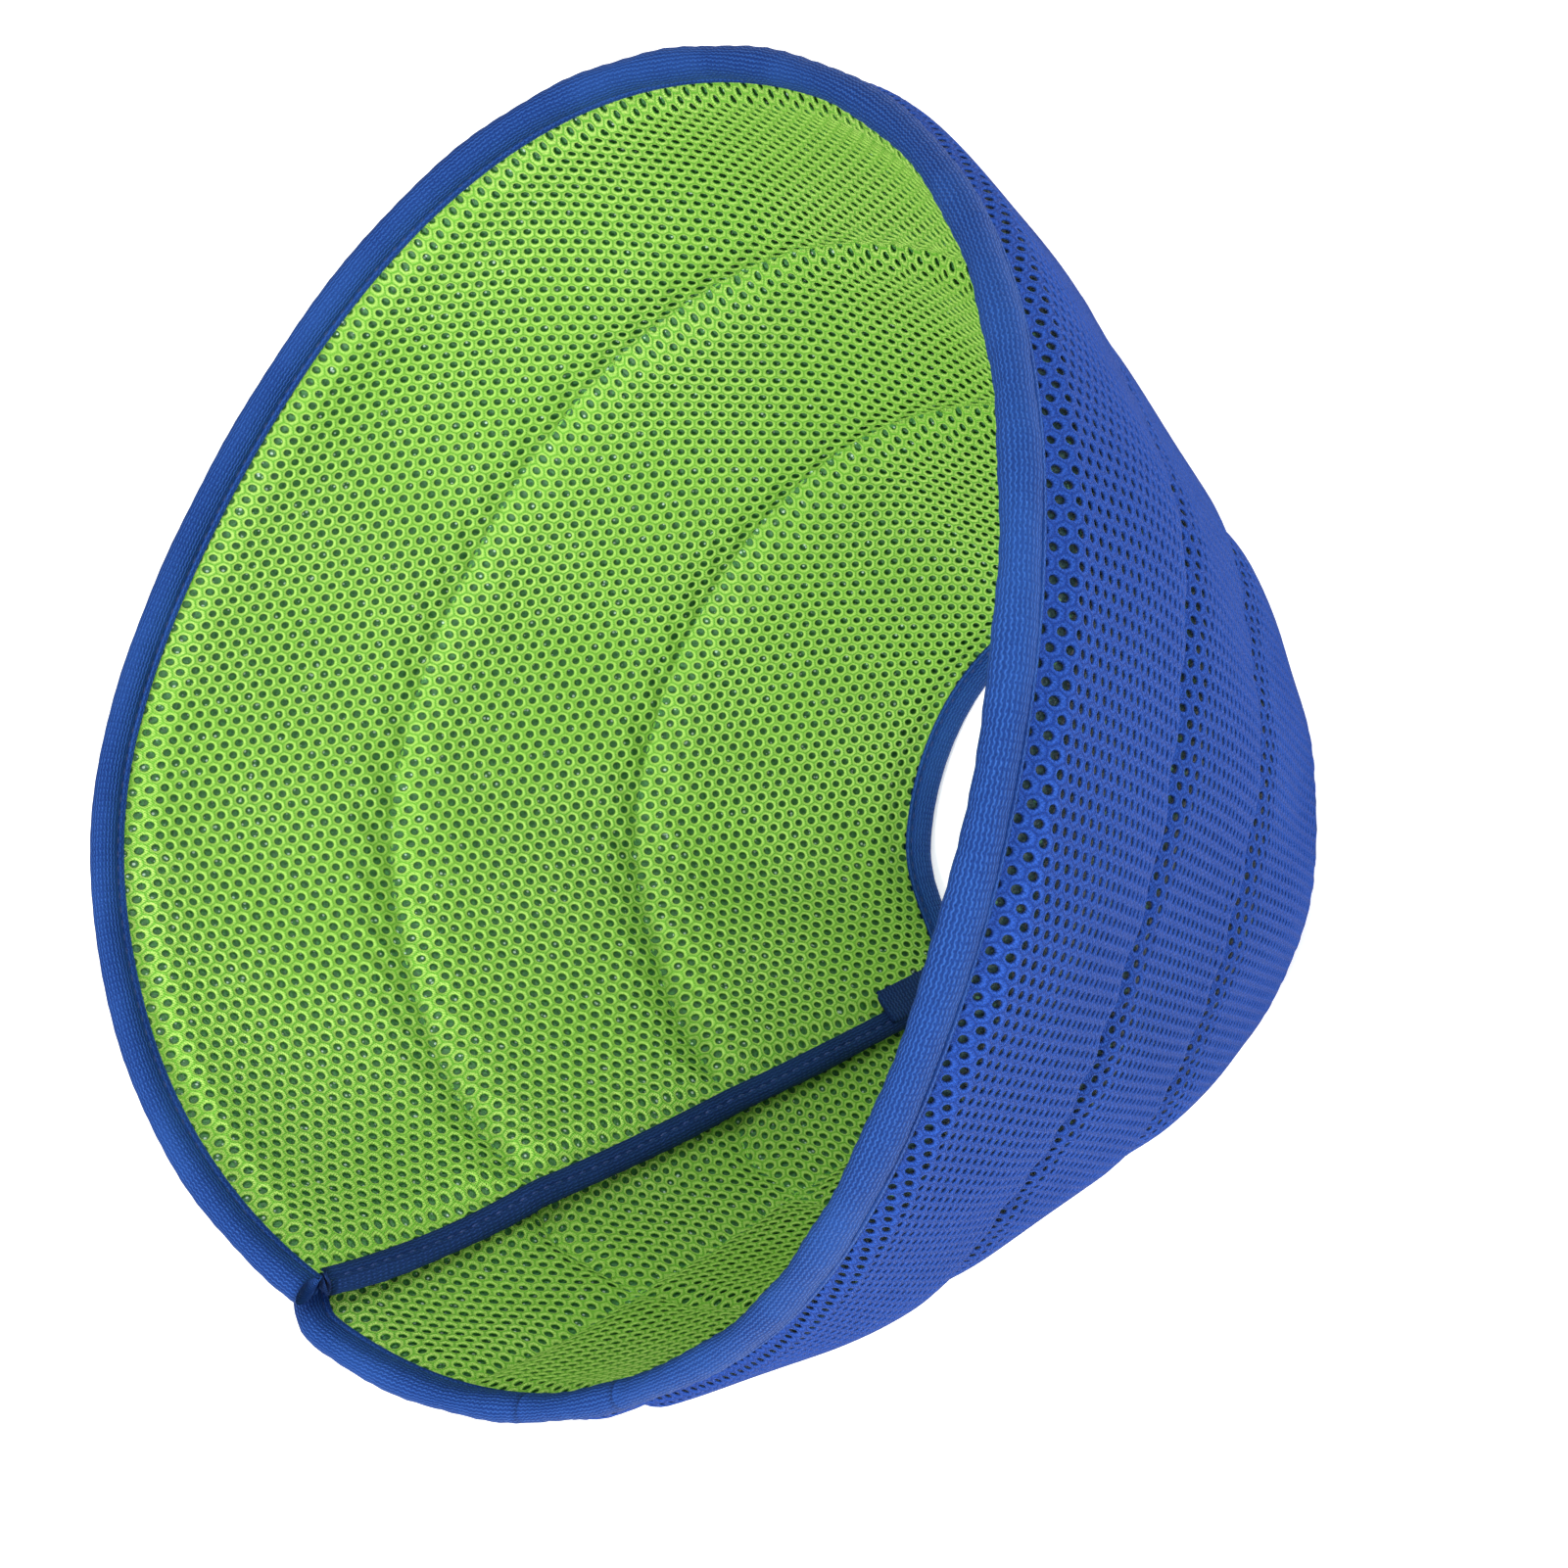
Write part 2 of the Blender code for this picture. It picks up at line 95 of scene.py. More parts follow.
def fade(angle, start, end):
    """Eased way from one angle to another, 0 to 1."""
    return smooth((angle - start) / (end - start))


def profile(share):
    """Radius and height of the middle surface."""
    band = np.clip((share * 3.0).astype(int), 0, 2)
    along = share * 3.0 - band
    low, high = STATIONS[band], STATIONS[band + 1]
    rise = high - low
    length = np.hypot(rise[..., 0], rise[..., 1])
    bow = BAND_BOW[band] * 4.0 * along * (1.0 - along) / length
    return (low[..., 0] + rise[..., 0] * along + bow * rise[..., 1],
            low[..., 1] + rise[..., 1] * along - bow * rise[..., 0])


def wave(size_and_phase, turns, angle):
    """A wave that repeats a number of times round the cone."""
    size, phase = size_and_phase
    return size * np.cos(np.radians(turns * angle - phase))


def lap(angle):
    """Shift of the two ends in and out where they overlap."""
    return INNER_LAP * fade(angle, *INNER_LAP_FADE) + OUTER_LAP * fade(angle, *OUTER_LAP_FADE)


def place(angle, share, depth=0.0):
    """World points, for arrays of angles, shares and depths."""
    angle, share, depth = np.broadcast_arrays(*(np.asarray(v, float) for v in (angle, share, depth)))
    layer_share = share * (1.0 - RIM_DROP * fade(angle, *OUTER_LAP_FADE)
                           - END_DROP * fade(angle, *END_DROP_FADE))
    radius, height = profile(layer_share)
    r0, z0 = profile(np.maximum(layer_share - 0.02, 0.0))
    r1, z1 = profile(np.minimum(layer_share + 0.02, 1.0))
    length = np.hypot(r1 - r0, z1 - z0)
    stretch = 1.0 + share * (wave(OVAL, 2, angle) + wave(EGG, 3, angle))
    radius = (radius + (z1 - z0) / length * depth + lap(angle)) * stretch
    height = (height - (r1 - r0) / length * depth
              + share * (wave(RIM_WAVE, 2, angle) + wave(RIM_RIPPLE, 3, angle)))
    turn = np.radians(angle)
    return np.stack((radius * np.cos(turn) + NECK_SHIFT[0] + MOUTH_SHIFT[0] * share,
                     radius * np.sin(turn) + NECK_SHIFT[1] + MOUTH_SHIFT[1] * share, height), -1)


def seam_angle(ends, share):
    """Angle at each height of a seam that looks straight from above."""
    share = np.asarray(share, float)
    way = (profile(share)[0] - STATIONS[0, 0]) / (STATIONS[3, 0] - STATIONS[0, 0])
    turn = math.radians(ends[0] - ends[1])
    x = STATIONS[0, 0] * (1.0 - way) + STATIONS[3, 0] * way * math.cos(turn)
    return ends[1] + np.degrees(np.arctan2(STATIONS[3, 0] * way * math.sin(turn), x))


def column(ends, run, share):
    """Angle at a distance from a seam."""
    share = np.asarray(share, float)
    return seam_angle(ends, share) + np.degrees(run / profile(share)[0])


def run_to(ends, angle, share):
    """Distance past a seam, along the cone."""
    return np.radians(angle - seam_angle(ends, share)) * profile(share)[0]


def edge_distance(angle, share):
    """Distance in from the panel's outline, with the flap's rounded corners."""
    rim = np.minimum(share, 1.0 - share) * SPAN
    flap, inner = run_to(FLAP_END, angle, share), -run_to(INNER_END, angle, share)
    corner = FLAP_CORNER - np.hypot(FLAP_CORNER - rim, FLAP_CORNER - flap)
    flap = np.where((rim < FLAP_CORNER) & (flap < FLAP_CORNER), corner, np.minimum(rim, flap))
    return np.minimum(flap, inner)


def seam_run(share):
    """Distance from the nearer quilting seam."""
    return np.minimum(abs(share - 1 / 3), abs(share - 2 / 3)) * SPAN


def half(angle, share, side):
    """Depth of a mesh face: puffed between the seams and folds, puckered beside them, flat under bindings."""
    near = seam_run(share)
    puff = np.sin(math.pi / 2 * np.clip(near / PUFF_RUN, 0.0, 1.0))
    for fold in (FOLD_A, FOLD_B):
        puff = puff * np.sin(math.pi / 2 * np.clip(abs(run_to(fold, angle, share)) / PUFF_RUN, 0.0, 1.0))
    free = fade(angle, -46.0, -26.0) if side < 0 else 1.0 - fade(angle, 205.0, 225.0)
    thick = HALF_SEAM + (HALF_CENTRE - HALF_SEAM + SWELL * free) * puff ** CREASE
    arc = np.radians(angle) * profile(share)[0]
    ripple = np.sin(arc / 0.0023 + 1.6 * np.sin(arc / 0.017) + 2.0 * side)
    thick = thick + 0.0004 * np.exp(-((near - 0.0055) / 0.0045) ** 2) * ripple
    flat = 1.0 - smooth((edge_distance(angle, share) - BINDING_LEG) / 0.007)
    return thick + (np.minimum(thick, HALF_EDGE) - thick) * flat


def sway(angle, share):
    """Soft dents of the whole sandwich, the same in lapped layers."""
    turn = np.radians(angle)
    calm = smooth(edge_distance(angle, share) / 0.035) * (0.25 + 0.75 * smooth(seam_run(share) / 0.016))
    calm = calm * (1.0 - 0.75 * np.maximum(fade(angle, 205.0, 235.0), fade(angle, -30.0, -60.0)))
    return calm * (0.0010 * np.sin(5.0 * turn + 1.1 + 4.6 * share)
                   + 0.0008 * np.sin(9.0 * turn - 0.7 - 7.0 * share)
                   + 0.0005 * np.sin(14.0 * turn + 2.0 + 9.0 * share))


def face(angle, share, side, lift=0.0):
    """World points on a mesh face, lifted off it by an amount."""
    return place(angle, share, side * (half(angle, share, side) + lift) + sway(angle, share))


def normals(angle, share, side):
    """Unit normals of the panel, towards one side."""
    out = place(angle, share, 0.001) - place(angle, share, -0.001)
    return side * out / np.linalg.norm(out, axis=-1, keepdims=True)


# --- mesh helpers ------------------------------------------------------------------------------------------

def mesh_object(name, points, faces, finish, **attributes):
    """One smooth object from arrays; attributes are numbers (n) or vectors (n, 3) on the points."""
    mesh = bpy.data.meshes.new(name)
    mesh.vertices.add(len(points))
    mesh.vertices.foreach_set("co", np.ascontiguousarray(points, np.float32).ravel())
    mesh.loops.add(faces.size)
    mesh.loops.foreach_set("vertex_index", np.ascontiguousarray(faces, np.int32).ravel())
    mesh.polygons.add(len(faces))
    mesh.polygons.foreach_set("loop_start", np.arange(0, faces.size, faces.shape[1], dtype=np.int32))
    mesh.update(calc_edges=True)
    mesh.validate()
    for key, values in attributes.items():
        kind = "FLOAT" if values.ndim == 1 else "FLOAT_VECTOR"
        made = mesh.attributes.new(key, kind, "POINT")
        made.data.foreach_set("value" if kind == "FLOAT" else "vector", values.astype(np.float32).ravel())
    mesh.shade_smooth()
    mesh.materials.append(finish)
    piece = bpy.data.objects.new(name, mesh)
    bpy.context.scene.collection.objects.link(piece)
    return piece


def grid_faces(rows, columns, wrap=False):
    """Quads of a grid whose points run along the columns first; wrap joins the last column to the first."""
    i, j = np.meshgrid(np.arange(rows - 1), np.arange(columns if wrap else columns - 1), indexing="ij")
    nxt = (j + 1) % columns
    quads = (i * columns + j, i * columns + nxt, (i + 1) * columns + nxt, (i + 1) * columns + j)
    return np.stack(quads, -1).reshape(-1, 4)


def slab_faces(rows, columns):
    """Quads of a closed slab: one grid of points below, the same grid above, and walls round the rim."""
    faces = grid_faces(rows, columns)
    ring = np.concatenate((np.arange(columns), np.arange(1, rows) * columns + columns - 1,
                           (rows - 1) * columns + np.arange(columns - 2, -1, -1),
                           np.arange(rows - 2, 0, -1) * columns))
    after, total = np.roll(ring, -1), rows * columns
    walls = np.stack((ring, after, after + total, ring + total), -1)
    return np.vstack((faces[:, ::-1], faces + total, walls))


def repeat(points, faces, origin, x_axis, y_axis, z_axis):
    """Copies of a small shape, one in each frame."""
    copies = (origin[:, None] + points[None, :, 0:1] * x_axis[:, None]
              + points[None, :, 1:2] * y_axis[:, None] + points[None, :, 2:3] * z_axis[:, None])
    shifts = np.arange(len(origin))[:, None, None] * len(points)
    return copies.reshape(-1, 3), (faces[None] + shifts).reshape(-1, faces.shape[1])


def spun(rings, around):
    """Closed turned shape from (height, radius) rings, with a point at each end: points and triangles."""
    turn = np.arange(around) * 2.0 * math.pi / around
    body = np.array([(r * math.cos(t), r * math.sin(t), z) for z, r in rings[1:-1] for t in turn])
    points = np.vstack((body, (0.0, 0.0, rings[0][0]), (0.0, 0.0, rings[-1][0])))
    quads = grid_faces(len(rings) - 2, around, True)
    tris = np.vstack((quads[:, (0, 1, 2)], quads[:, (0, 2, 3)]))
    k, nxt = np.arange(around), (np.arange(around) + 1) % around
    last = (len(rings) - 3) * around
    low = np.stack((nxt, k, np.full(around, len(body))), -1)
    high = np.stack((last + k, last + nxt, np.full(around, len(body) + 1)), -1)
    return points, np.vstack((tris, low, high))


# --- materials ---------------------------------------------------------------------------------------------

class Finish:
    """A node material built round one Principled shader."""

    def __init__(self, name, roughness, sheen=0.0, specular=0.4):
        self.material = bpy.data.materials.new(name)
        self.material.use_nodes = True
        self.tree = self.material.node_tree
        self.shader = self.tree.nodes["Principled BSDF"]
        self.shader.inputs["Roughness"].default_value = roughness
        self.shader.inputs["Sheen Weight"].default_value = sheen
        self.shader.inputs["Sheen Roughness"].default_value = 0.4
        self.shader.inputs["Specular IOR Level"].default_value = specular

    def node(self, kind, links=(), **values):
        made = self.tree.nodes.new("ShaderNode" + kind)
        for key, value in values.items():
            setattr(made, key, value)
        for key, value in dict(links).items():
            if isinstance(value, bpy.types.NodeSocket):
                self.tree.links.new(value, made.inputs[key])
            else:
                made.inputs[key].default_value = value
        return made

    def attribute(self, name, output):
        return self.node("Attribute", attribute_name=name).outputs[output]

    def noise(self, vector, scale, detail=2.0):
        return self.node("TexNoise", {"Vector": vector, "Scale": scale, "Detail": detail}).outputs["Fac"]

    def bands(self, vector, scale, turn):
        """Fine parallel threads in the cloth's plane, turned by an angle."""
        turned = self.node("Mapping", {"Vector": vector, "Rotation": (0.0, 0.0, math.radians(turn))})
        made = self.node("TexWave", {"Vector": turned.outputs[0], "Scale": scale, "Distortion": 1.2,
                                     "Detail": 1.0, "Detail Scale": 2.0})
        return made.outputs["Fac"]

    def spread(self, value, low, high, to_low=0.0, to_high=1.0):
        links = {"Value": value, "From Min": low, "From Max": high, "To Min": to_low, "To Max": to_high}
        return self.node("MapRange", links, interpolation_type="SMOOTHSTEP").outputs["Result"]

    def maths(self, operation, a, b):
        return self.node("Math", {0: a, 1: b}, operation=operation).outputs[0]

    def mix(self, factor, a, b):
        made = self.tree.nodes.new("ShaderNodeMix")
        made.data_type = "RGBA"
        for key, value in ((0, factor), (6, a), (7, b)):
            if isinstance(value, bpy.types.NodeSocket):
                self.tree.links.new(value, made.inputs[key])
            else:
                made.inputs[key].default_value = value if key == 0 else (*value, 1.0)
        return made.outputs[2]

    def colour(self, socket):
        self.tree.links.new(socket, self.shader.inputs["Base Color"])

    def rough(self, socket):
        self.tree.links.new(socket, self.shader.inputs["Roughness"])

    def bump(self, height, distance, strength=1.0):
        made = self.node("Bump", {"Height": height, "Distance": distance, "Strength": strength})
        self.tree.links.new(made.outputs[0], self.shader.inputs["Normal"])


def knit_face(name, middle, edge, deep, patch):
    """Face yarns of the air mesh: a painted highlight towards each hole's lip, painted shade down its wall,
    with fine stitches.
    """
    made = Finish(name, 0.85, specular=0.12)
    cloth, strand = made.attribute("cloth", "Vector"), made.attribute("strand", "Fac")
    legs = made.maths("MULTIPLY", made.bands(cloth, 620.0, 35.0), made.bands(cloth, 620.0, -40.0))
    fine = made.noise(cloth, 2600.0)
    # The edge colour is a painted highlight: the yarns pale to it towards each hole's lip.
    tone = made.mix(made.spread(strand, 0.0, 0.9), middle, edge)
    # The knit stitches are a real pattern, drawn in the same painted highlight colour.
    tone = made.mix(made.spread(legs, 0.15, 0.7, 0.0, 0.45), tone, edge)
    tone = made.mix(made.spread(fine, 0.35, 0.62, 0.0, 0.35), tone, middle)
    tone = made.mix(made.spread(made.noise(cloth, 22.0), 0.35, 0.65, 0.0, 0.30), tone, patch)
    # The deep colour is painted shade down each hole's wall.
    made.colour(made.mix(made.spread(strand, 1.15, 1.9), tone, deep))
    made.rough(made.spread(fine, 0.3, 0.7, 0.62, 0.85))
    made.bump(made.maths("ADD", legs, fine), 0.0003, 1.0)
    return made.material


def spacer(name, dark, light, painted_glint, cover):
    """The layer under a mesh face: upright yarns in dark tones that are partly painted shade of the hollow
    under the face, with a few painted glints of light.
    """
    made = Finish(name, 0.45, specular=0.6)
    cloth = made.attribute("cloth", "Vector")
    cells = made.node("TexVoronoi", {"Vector": cloth, "Scale": 620.0, "Randomness": 1.0})
    fibres = made.noise(cloth, 1500.0, 3.0)
    # The dark and light yarn tones are darkened partly as painted shade of the hollow under the face.
    tone = made.mix(made.spread(fibres, 0.35, 0.7), dark, light)
    # Painted glints: bright specks of reflected light on the upright yarns.
    tone = made.mix(made.spread(cells.outputs["Distance"], 0.16, 0.24, cover, 0.0), tone, painted_glint)
    made.colour(tone)
    made.rough(made.spread(fibres, 0.3, 0.7, 0.3, 0.7))
    made.bump(fibres, 0.0005)
    return made.material


def ribbed_tape(name, ground, ridge, hollow):
    """Knit binding tape: small slanted stitches in columns along the tape, with soft shade between them."""
    made = Finish(name, 0.82, specular=0.12)
    cloth = made.attribute("cloth", "Vector")
    slanted = made.bands(cloth, 430.0, 62.0)
    crossed = made.bands(cloth, 430.0, -62.0)
    courses = made.bands(cloth, 360.0, 90.0)
    stitch = made.maths("MULTIPLY", made.maths("ADD", slanted, crossed), courses)
    fine = made.noise(cloth, 2400.0)
    tone = made.mix(made.spread(stitch, 0.1, 1.1), hollow, ridge)
    tone = made.mix(made.spread(fine, 0.3, 0.7, 0.1, 0.6), tone, ground)
    tone = made.mix(made.spread(made.noise(cloth, 30.0), 0.4, 0.65, 0.0, 0.2), tone, ridge)
    made.colour(tone)
    made.rough(made.spread(stitch, 0.1, 1.1, 0.8, 0.58))
    made.bump(made.maths("ADD", stitch, fine), 0.0002, 0.8)
    return made.material


def thread_finish(name, tone, light):
    """Sewing thread with a twist along it."""
    made = Finish(name, 0.5, sheen=0.05)
    place_on = made.node("TexCoord").outputs["Object"]
    twist = made.noise(place_on, 3200.0)
    made.colour(made.mix(made.spread(twist, 0.35, 0.65), tone, light))
    made.rough(made.spread(twist, 0.3, 0.7, 0.4, 0.62))
    made.bump(twist, 0.0001, 0.6)
    return made.material


def matt_finish(name, tone, light, scale, roughness, depth):
    """A plain soft material with fine grain: foam, hook tape."""
    made = Finish(name, roughness)
    place_on = made.node("TexCoord").outputs["Object"]
    grain = made.noise(place_on, scale, 4.0)
    made.colour(made.mix(made.spread(grain, 0.35, 0.65), tone, light))
    made.rough(made.spread(grain, 0.3, 0.7, roughness - 0.1, roughness))
    made.bump(grain, depth)
    return made.material


# Knit colours: yarn, painted highlight at the hole lips, painted shade down the hole walls, and patches of
# tone.
LINING = knit_face("lining_knit", (0.105, 0.40, 0.024), (0.52, 0.78, 0.18), (0.040, 0.20, 0.014),
                   (0.24, 0.55, 0.050))
OUTER = knit_face("outer_knit", (0.0045, 0.030, 0.195), (0.022, 0.085, 0.40), (0.002, 0.016, 0.10),
                  (0.008, 0.044, 0.26))
# Spacer colours: dark and light yarn tones, partly painted shade, then a painted glint colour and how
# strongly it shows.
LINING_SPACER = spacer("lining_spacer", (0.020, 0.115, 0.020), (0.055, 0.25, 0.060), (0.62, 0.85, 0.66), 0.8)
OUTER_SPACER = spacer("outer_spacer", (0.003, 0.018, 0.026), (0.010, 0.050, 0.045), (0.08, 0.24, 0.10), 0.6)
TAPE = ribbed_tape("binding_tape", (0.008, 0.044, 0.215), (0.026, 0.100, 0.36), (0.004, 0.020, 0.115))
END_TAPE = ribbed_tape("end_binding_tape", (0.006, 0.026, 0.115), (0.014, 0.050, 0.19), (0.003, 0.012, 0.055))
BLUE_THREAD = thread_finish("blue_thread", (0.008, 0.030, 0.15), (0.025, 0.07, 0.26))
GREEN_THREAD = thread_finish("green_thread", (0.11, 0.38, 0.03), (0.28, 0.58, 0.09))
EDGE_THREAD = thread_finish("edge_thread_blue", (0.006, 0.022, 0.12), (0.018, 0.055, 0.22))
FOAM = matt_finish("pad_foam", (0.72, 0.72, 0.66), (0.82, 0.82, 0.77), 900.0, 0.95, 0.0004)
HOOKS = matt_finish("hook_tape_black", (0.010, 0.010, 0.012), (0.028, 0.028, 0.032), 1800.0, 0.7, 0.0002)

# --- the panel's stretches and what pieces stand for -------------------------------------------------------

LIMITS = {"body": ((FOLD_B, BEND_CLEAR), (INNER_END, 0.0)),
          "fold": ((BETWEEN_FOLDS, 0.0), (FOLD_B, BEND_CLEAR)),
          "end": ((FLAP_END, 0.0), (BETWEEN_FOLDS, 0.0))}


def across(fold):
    """Points on both sides of a fold, between which its fabric bends."""
    angle = seam_angle(fold, 0.5)
    here, ahead = place(angle, 0.5), place(angle + 0.5, 0.5)
    axis = place(seam_angle(fold, 1.0), 1.0) - place(seam_angle(fold, 0.0), 0.0)
    axis /= np.linalg.norm(axis)
    way = ahead - here
    way -= axis * way.dot(axis)
    way *= BEND / np.linalg.norm(way)
    return tuple(here + way), tuple(here - way)


def settle(piece, region, slot, stands_for=()):
    """Hang a body piece on the collar, fix the others in place, and hide the CAD nodes the piece stands for.
    """
    if region == "body":
        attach(piece, "collar")
    elif region == "fold":
        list(across(FOLD_B))
        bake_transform(piece)
    else:
        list(across(FOLD_A))
        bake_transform(piece)
    if stands_for:
        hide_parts(*stands_for)


# --- air mesh ----------------------------------------------------------------------------------------------

def unrolled(flat):
    """Angle and share of points on the cone's flat pattern."""
    slant = np.hypot(flat[..., 0], flat[..., 1]) - FLAT_NECK
    angle = np.degrees(np.arctan2(flat[..., 1], flat[..., 0])) / CONE_SINE
    return angle, np.interp(slant, SLANTS, (0.0, 1 / 3, 2 / 3, 1.0), left=-1.0, right=2.0)


def flattened(angle, share):
    """Points on the cone's flat pattern."""
    reach = FLAT_NECK + np.interp(share, (0.0, 1 / 3, 2 / 3, 1.0), SLANTS)
    turn = np.radians(angle) * CONE_SINE
    return np.stack((reach * np.cos(turn), reach * np.sin(turn), np.zeros_like(reach)), -1)


CORNERS = ((0, 0, 0), (-1, 0, 1), (-1, 0, 0), (-1, -1, 1), (0, -1, 0), (0, -1, 1))   # cell steps and kind
AROUND = 12                          # points round a hole
FACE_TRIANGLES, PIECE_TRIANGLES = 42, 170000


def mesh_cells(region, pitch, turn):
    """Cells of the hole pattern whose middle lies in a region, in order of angle."""
    reach = int(0.42 / pitch)
    steps = np.arange(-reach, reach + 1)
    i, j = (v.ravel() for v in np.meshgrid(steps, steps, indexing="ij"))
    first, second = ((pitch * math.cos(math.radians(way)), pitch * math.sin(math.radians(way)))
                     for way in (turn, turn + 60))
    angle, share = unrolled(np.outer(i, first) + np.outer(j, second))
    inside = (share > 0.0) & (share < 1.0)
    i, j, angle, share = (v[inside] for v in (i, j, angle, share))
    (low, low_run), (high, high_run) = LIMITS[region]
    keep = (angle >= column(low, low_run, share)) & (angle < column(high, high_run, share))
    keep &= edge_distance(angle, share) > 0.0035
    order = np.argsort(angle[keep])
    return i[keep][order], j[keep][order], np.array(first), np.array(second)


def mesh_face(label, region, side, pitch, turn, hole, finish):
    """Perforated face of one stretch, in pieces of a moderate size."""
    all_i, all_j, first, second = mesh_cells(region, pitch, turn)
    count = math.ceil(len(all_i) * FACE_TRIANGLES / PIECE_TRIANGLES)
    pieces = []
    for part, chosen in enumerate(np.array_split(np.arange(len(all_i)), count)):
        i, j = all_i[chosen], all_j[chosen]
        keys = np.stack([((i + di + 500) * 1000 + (j + dj + 500)) * 2 + kind for di, dj, kind in CORNERS], -1)
        unique, corner = np.unique(keys, return_inverse=True)
        corner = corner.reshape(keys.shape)
        ci, cj, kind = unique // 2 // 1000 - 500, unique // 2 % 1000 - 500, unique % 2
        way = np.where(kind == 1, 2 / 3, 1 / 3)
        corners = np.outer(ci + way, first) + np.outer(cj + way, second)
        shake = 0.00006 * np.stack((np.sin(unique * 12.9898), np.sin(unique * 78.233)), -1)
        middle = np.outer(i, first) + np.outer(j, second)
        swing = np.radians(turn + 30.0 + 360.0 / AROUND * np.arange(AROUND))
        around = np.stack((np.cos(swing), np.sin(swing)), -1)
        size = hole * (1.0 + 0.05 * np.sin(i * 12.9898 + j * 78.233))[:, None, None]
        rings = [(middle[:, None] + around * size * grow).reshape(-1, 2) for grow in (1.0, 0.70)]
        flat = np.vstack([corners + shake] + rings)
        strand = np.concatenate((np.zeros(len(unique)), np.ones(len(rings[0])), np.full(len(rings[1]), 2.0)))
        lift = np.choose(strand.astype(int), (0.00016, 0.0, -0.00042))
        angle, share = unrolled(flat)
        points = face(angle, share, side, lift)
        base = len(unique) + np.arange(len(i))[:, None] * AROUND
        k = np.arange(6)
        c0, c1 = corner, corner[:, (k + 1) % 6]
        r0, r1, r2 = (base + (2 * k + step) % AROUND for step in (0, 1, 2))
        tris = [np.stack(t, -1).reshape(-1, 3) for t in ((c0, c1, r1), (c0, r1, r0), (c1, r2, r1))]
        n = np.arange(AROUND)
        a, b = base + n, base + (n + 1) % AROUND
        deep = len(i) * AROUND
        tris += [np.stack(t, -1).reshape(-1, 3) for t in ((a, b, b + deep), (a, b + deep, a + deep))]
        tris = np.vstack(tris)
        if side > 0:
            tris = tris[:, ::-1]
        cloth = np.hstack((flat, np.zeros((len(flat), 1))))
        name = f"{label}_face_{region}" + (f"_{part + 1}" if count > 1 else "")
        pieces.append(mesh_object(name, points, tris, finish, cloth=cloth, strand=strand))
    return pieces


def panel_grid(region, step, inset, low_share, high_share):
    """Angles and shares of a grid over one stretch, rows from neck to mouth."""
    rows = max(int((high_share - low_share) * SPAN / step), 2)
    (low, low_run), (high, high_run) = LIMITS[region]
    low_run += inset if low is FLAP_END else 0.0
    high_run -= inset if high is INNER_END else 0.0
    share = np.linspace(low_share, high_share, rows + 1)
    first, last = column(low, low_run, share), column(high, high_run, share)
    count = max(int(math.radians(last[-1] - first[-1]) * STATIONS[3, 0] / step), 2)
    way = np.linspace(0.0, 1.0, count + 1)
    angle = first[:, None] + (last - first)[:, None] * way
    return angle, np.broadcast_to(share[:, None], angle.shape)


def drop_of(angle, share, side):
    """Depth of the spacer layer under a mesh face."""
    return np.minimum(BACKING_DROP, 0.55 * half(angle, share, side))


def backing(label, region, side, finish):
    """The unbroken spacer layer under a mesh face."""
    edge = 0.005 / SPAN
    angle, share = panel_grid(region, 0.0028, 0.005, edge, 1.0 - edge)
    points = face(angle, share, side, -drop_of(angle, share, side)).reshape(-1, 3)
    faces = grid_faces(*angle.shape)
    faces = faces if side > 0 else faces[:, ::-1]
    return mesh_object(f"{label}_spacer_{region}", points, faces, finish,
                       cloth=flattened(angle, share).reshape(-1, 3))


def cut_size(region):
    """Width, length and area of one stretch of the panel, cut flat."""
    angle, share = panel_grid(region, 0.004, 0.0, 0.0, 1.0)
    flat = flattened(angle, share)[..., :2]
    corners = flat[:-1, :-1], flat[:-1, 1:], flat[1:, 1:], flat[1:, :-1]
    area = 0.0
    for a, b in zip(corners, corners[1:] + corners[:1]):
        area += (a[..., 0] * b[..., 1] - a[..., 1] * b[..., 0]).sum() / 2.0
    middle = math.radians((angle[-1, 0] + angle[-1, -1]) / 2.0) * CONE_SINE
    turned = flat @ np.array(((math.cos(middle), -math.sin(middle)), (math.sin(middle), math.cos(middle))))
    size = np.ptp(turned.reshape(-1, 2), axis=0)
    return (float(size[1]), float(size[0])), abs(float(area))


def cloths(label, side, pitch, turn, hole, face_finish, spacer_finish):
    """One side of the panel: the spacer sheet and its perforated face, stretch by stretch."""
    for region in LIMITS:
        sheet = backing(label, region, side, spacer_finish)
        settle(sheet, region, label, [f"{label}_{region}"])
        faces = mesh_face(label, region, side, pitch, turn, hole, face_finish)
        for piece in faces:
            settle(piece, region, label)
        size, area = cut_size(region)


def pads():
    """Foam of each band, closed and crowned, inside the two cloths."""
    for region in LIMITS:
        for band, band_name in enumerate(BANDS):
            clear = 0.0055 / SPAN
            angle, share = panel_grid(region, 0.0035, 0.006, band / 3 + clear, (band + 1) / 3 - clear)
            room = np.minimum(*(half(angle, share, side) - drop_of(angle, share, side)
                                for side in (-1.0, 1.0)))
            thick = np.maximum(room - 0.0007, 0.00015)
            low, high = (place(angle, share, side * thick + sway(angle, share)) for side in (-1.0, 1.0))
            points = np.vstack((low.reshape(-1, 3), high.reshape(-1, 3)))
            pad = mesh_object(f"pad_{band_name}_{region}", points, slab_faces(*angle.shape), FOAM)
            settle(pad, region, "foam", [f"foam_{band_name}_{region}"])


# --- bindings ----------------------------------------------------------------------------------------------

